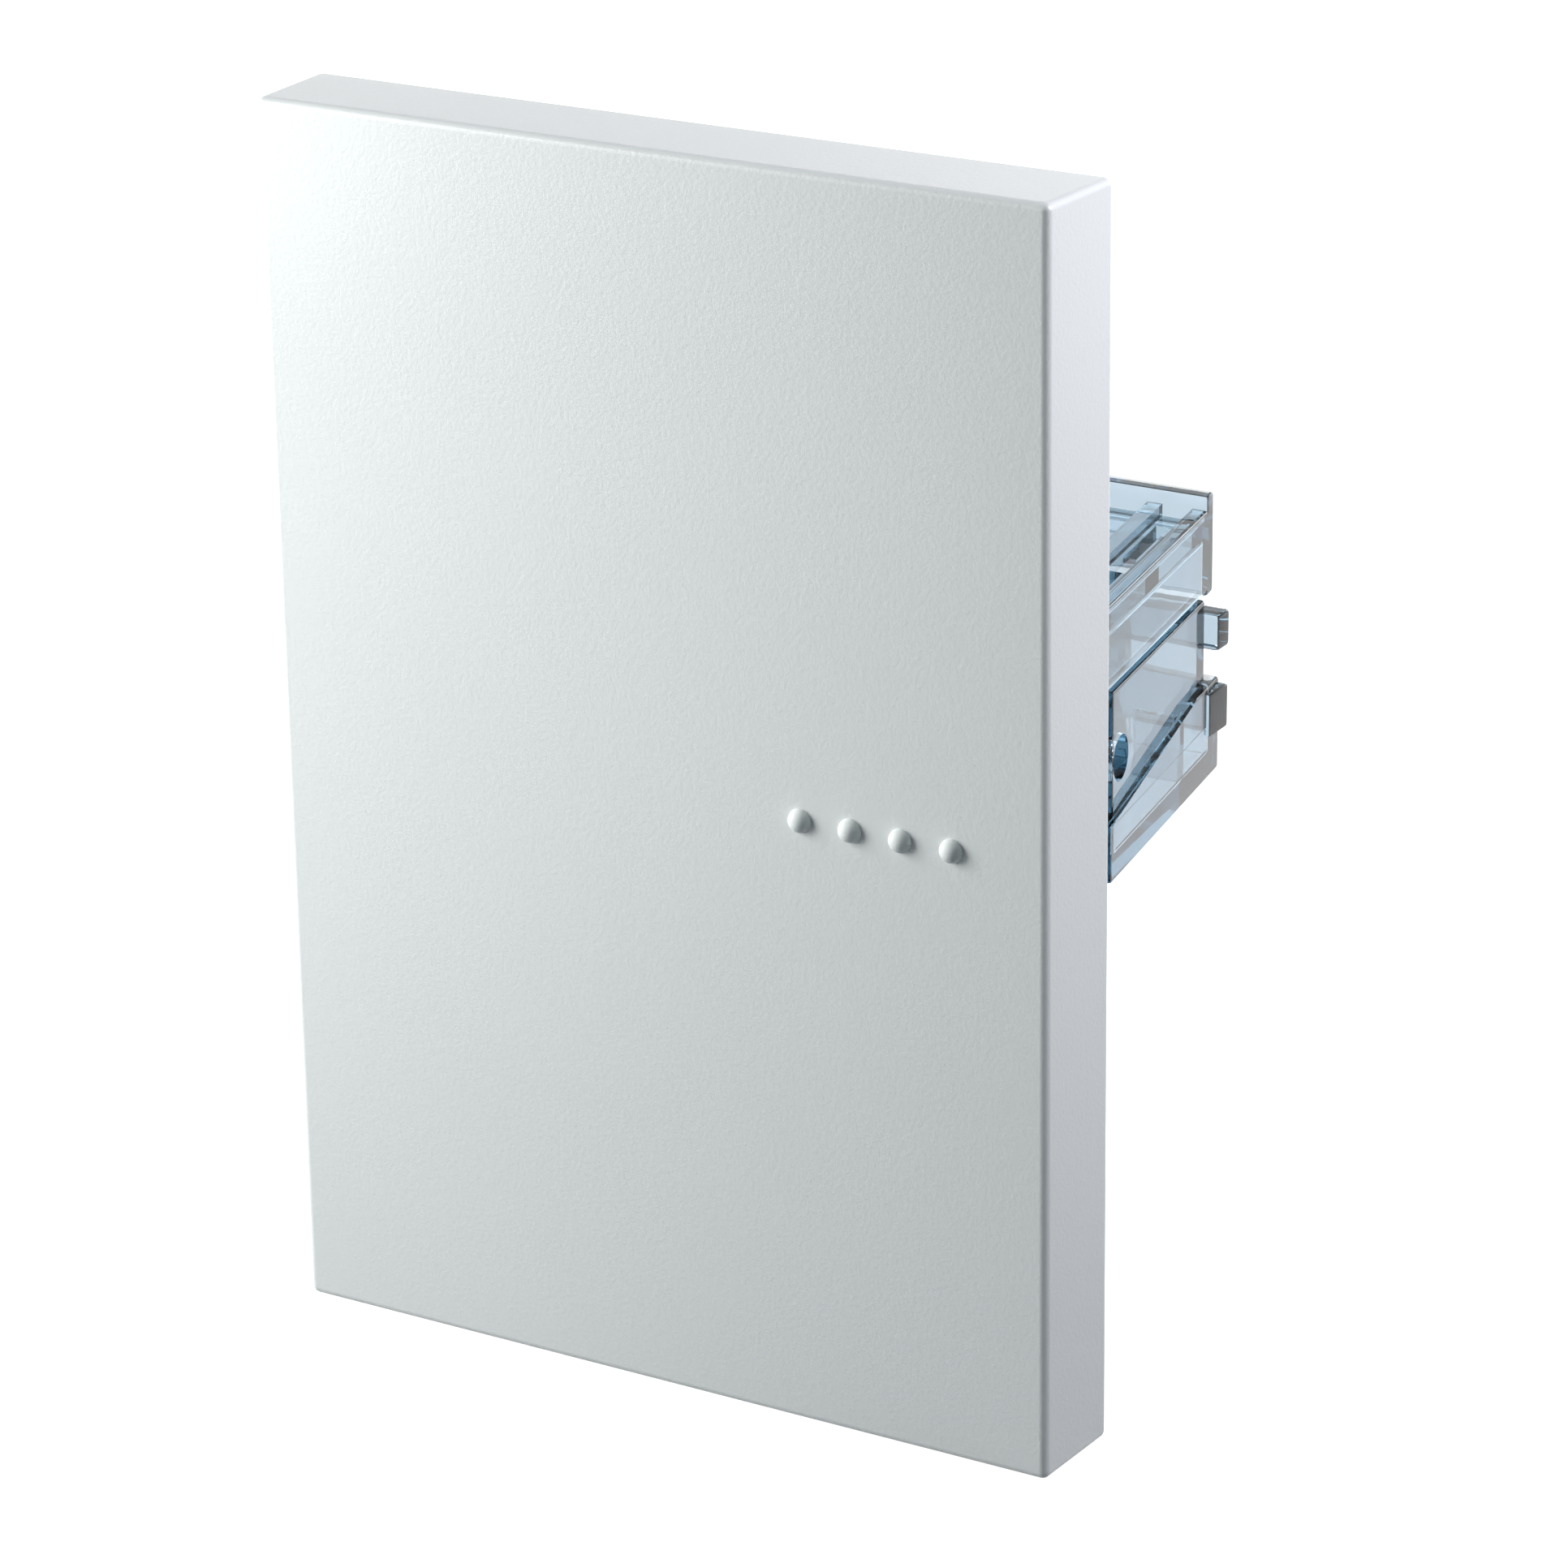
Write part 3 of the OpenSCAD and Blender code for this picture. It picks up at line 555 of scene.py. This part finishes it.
def chip_parts():
    """Small surface-mounted parts on the front of both boards: bodies, their metal ends and solder"""
    bodies, ends = [], []
    face = -5.1
    places = [(-28 + 3.6 * i, -14.5, 0) for i in range(6)] + [(-27 + 4.2 * i, 6.5, 0) for i in range(5)]
    places += [(3.5, -14 + 3.2 * i, 1) for i in range(6)] + [(-3, -12 + 3.4 * i, 1) for i in range(5)]
    places += [(-28 + 4.4 * i, -21.5, 0) for i in range(4)] + [(16 + 5.2 * i, 5.2, 0) for i in range(4)]
    for x, z, upright in places:
        w, h = (0.8, 1.6) if upright else (1.6, 0.8)
        bodies.append(block([x - w / 2, face - 0.55, z - h / 2],
                            [x + w / 2, face - 0.02, z + h / 2], 0.06))
        for s in (-1, 1):
            cx, cz = (x, z + s * 0.85) if upright else (x + s * 0.85, z)
            ew, eh = (0.88, 0.42) if upright else (0.42, 0.88)
            ends.append(block([cx - ew / 2, face - 0.6, cz - eh / 2],
                              [cx + ew / 2, face - 0.005, cz + eh / 2], 0.1))
    for x in (-18, -12, -6, 0):
        for z in (-28.5, -32.5):
            ends.append(bar("Y", 0.75, face - 0.5, face - 0.005, (x, z), 0.3, 20))
    show("small_parts", joined("small_parts", bodies), "chip_black")
    show("small_part_ends", joined("small_part_ends", ends), "screw_steel")


def capacitors():
    """Sleeved cans with a bare top that is scored with a cross"""
    x = 5.4
    cans, tops = [], []
    for z in (-29.5, -20.5):
        cans.append(bar("Y", 3.15, -3.5, 4.9, (x, z), 0.35, 48))
        disc = bar("Y", 2.6, 4.6, 5.5, (x, z), 0.2, 48)
        cross = [block([x - 2.2, 5.3, z - 0.12], [x + 2.2, 5.9, z + 0.12]),
                 block([x - 0.12, 5.3, z - 2.2], [x + 0.12, 5.9, z + 2.2])]
        tops.append(as_solid(combine("can_top", [disc], cross)))
    show("capacitor_sleeves", joined("capacitor_sleeves", cans), "chip_black", "root",
         ["smoothing_capacitors"])
    show("capacitor_tops", joined("capacitor_tops", tops), "can_aluminium")


cover_plate()
rear_housing()
battery_lid()
latch_bar()
support_frame()
for i in range(len(TERMINAL_XS)):
    terminal(i)
cells()
coils = joined("springs_wound", [spring(16.2, -27.5, 1), spring(30.8, 19.5, -1)])
show("springs_wound", coils, "contact_brass", "root", ["contact_springs"])
chip_parts()
capacitors()


# ---- CAD nodes ----

for sub in frame["record"]["subparts"]:
    node = NODES[sub["node"]]
    node.data.materials.clear()
    node.data.materials.append(MATERIALS[sub["material_slot"]])


# ---- Stage ----

def glowing(name, colour, strength, diffuse):
    m, tree, shader = new_material(name)
    put(shader, Base_Color=(*diffuse, 1), Roughness=1.0, Specular_IOR_Level=0.0)
    put(shader, Emission_Color=(*colour, 1), Emission_Strength=strength)
    return m


def make_stage():
    """A pale floor and a pale bowl behind it, which don't throw light on the object's matt surfaces"""
    floor_z = cad_bounds[0][2]
    half = 4.0
    corners = [(-half, -half), (half, -half), (half, half), (-half, half)]
    floor_mesh = bpy.data.meshes.new("floor")
    floor_mesh.from_pydata([(x, y, floor_z) for x, y in corners], [], [(0, 1, 2, 3)])
    floor_mesh.materials.append(glowing("floor_pale", (1, 1, 1), 0.88, (0.8, 0.8, 0.8)))
    bm = bmesh.new()
    bmesh.ops.create_uvsphere(bm, u_segments=32, v_segments=16, radius=3.8)
    bowl_mesh = plain_mesh("backdrop", bm)
    bowl_mesh.materials.append(glowing("backdrop_pale", (1, 1, 1), 0.98, (0, 0, 0)))
    for name, mesh in (("floor", floor_mesh), ("backdrop", bowl_mesh)):
        obj = bpy.data.objects.new(name, mesh)
        scene.collection.objects.link(obj)
        obj.visible_diffuse = False
    world = bpy.data.worlds.new("world")
    scene.world = world
    world.use_nodes = True
    background = world.node_tree.nodes["Background"]
    background.inputs["Color"].default_value = (0.68, 0.88, 1.0, 1)
    background.inputs["Strength"].default_value = 0.1


def area(name, place, target, size, power, colour=(1, 1, 1)):
    """A rectangular light that faces its target"""
    data = bpy.data.lights.new(name, "AREA")
    data.shape = "RECTANGLE"
    data.size, data.size_y = size
    data.energy = power
    data.color = colour
    light = bpy.data.objects.new(name, data)
    scene.collection.objects.link(light)
    light.location = place
    light.rotation_mode = "QUATERNION"
    light.rotation_quaternion = (Vector(target) - Vector(place)).to_track_quat("-Z", "Y")


make_camera()
make_stage()
area("key", (-0.22, -0.17, 0.09), (-0.02, -0.01, 0), (0.16, 0.26), 1.32)
area("side_near", (0.17, 0.05, 0.13), (0.04, 0, 0.03), (0.08, 0.08), 0.32, (0.97, 0.94, 1.0))
area("side_top", (0.24, 0.05, 0.20), (0.04, 0, 0), (0.12, 0.12), 0.16, (0.93, 0.93, 1.0))
area("back_left", (-0.30, 0.55, 0.0), (0, 0.02, 0), (0.4, 0.4), 1.2)
area("back_right", (0.06, 0.60, 0.02), (0, 0.02, 0), (0.3, 0.3), 0.8)
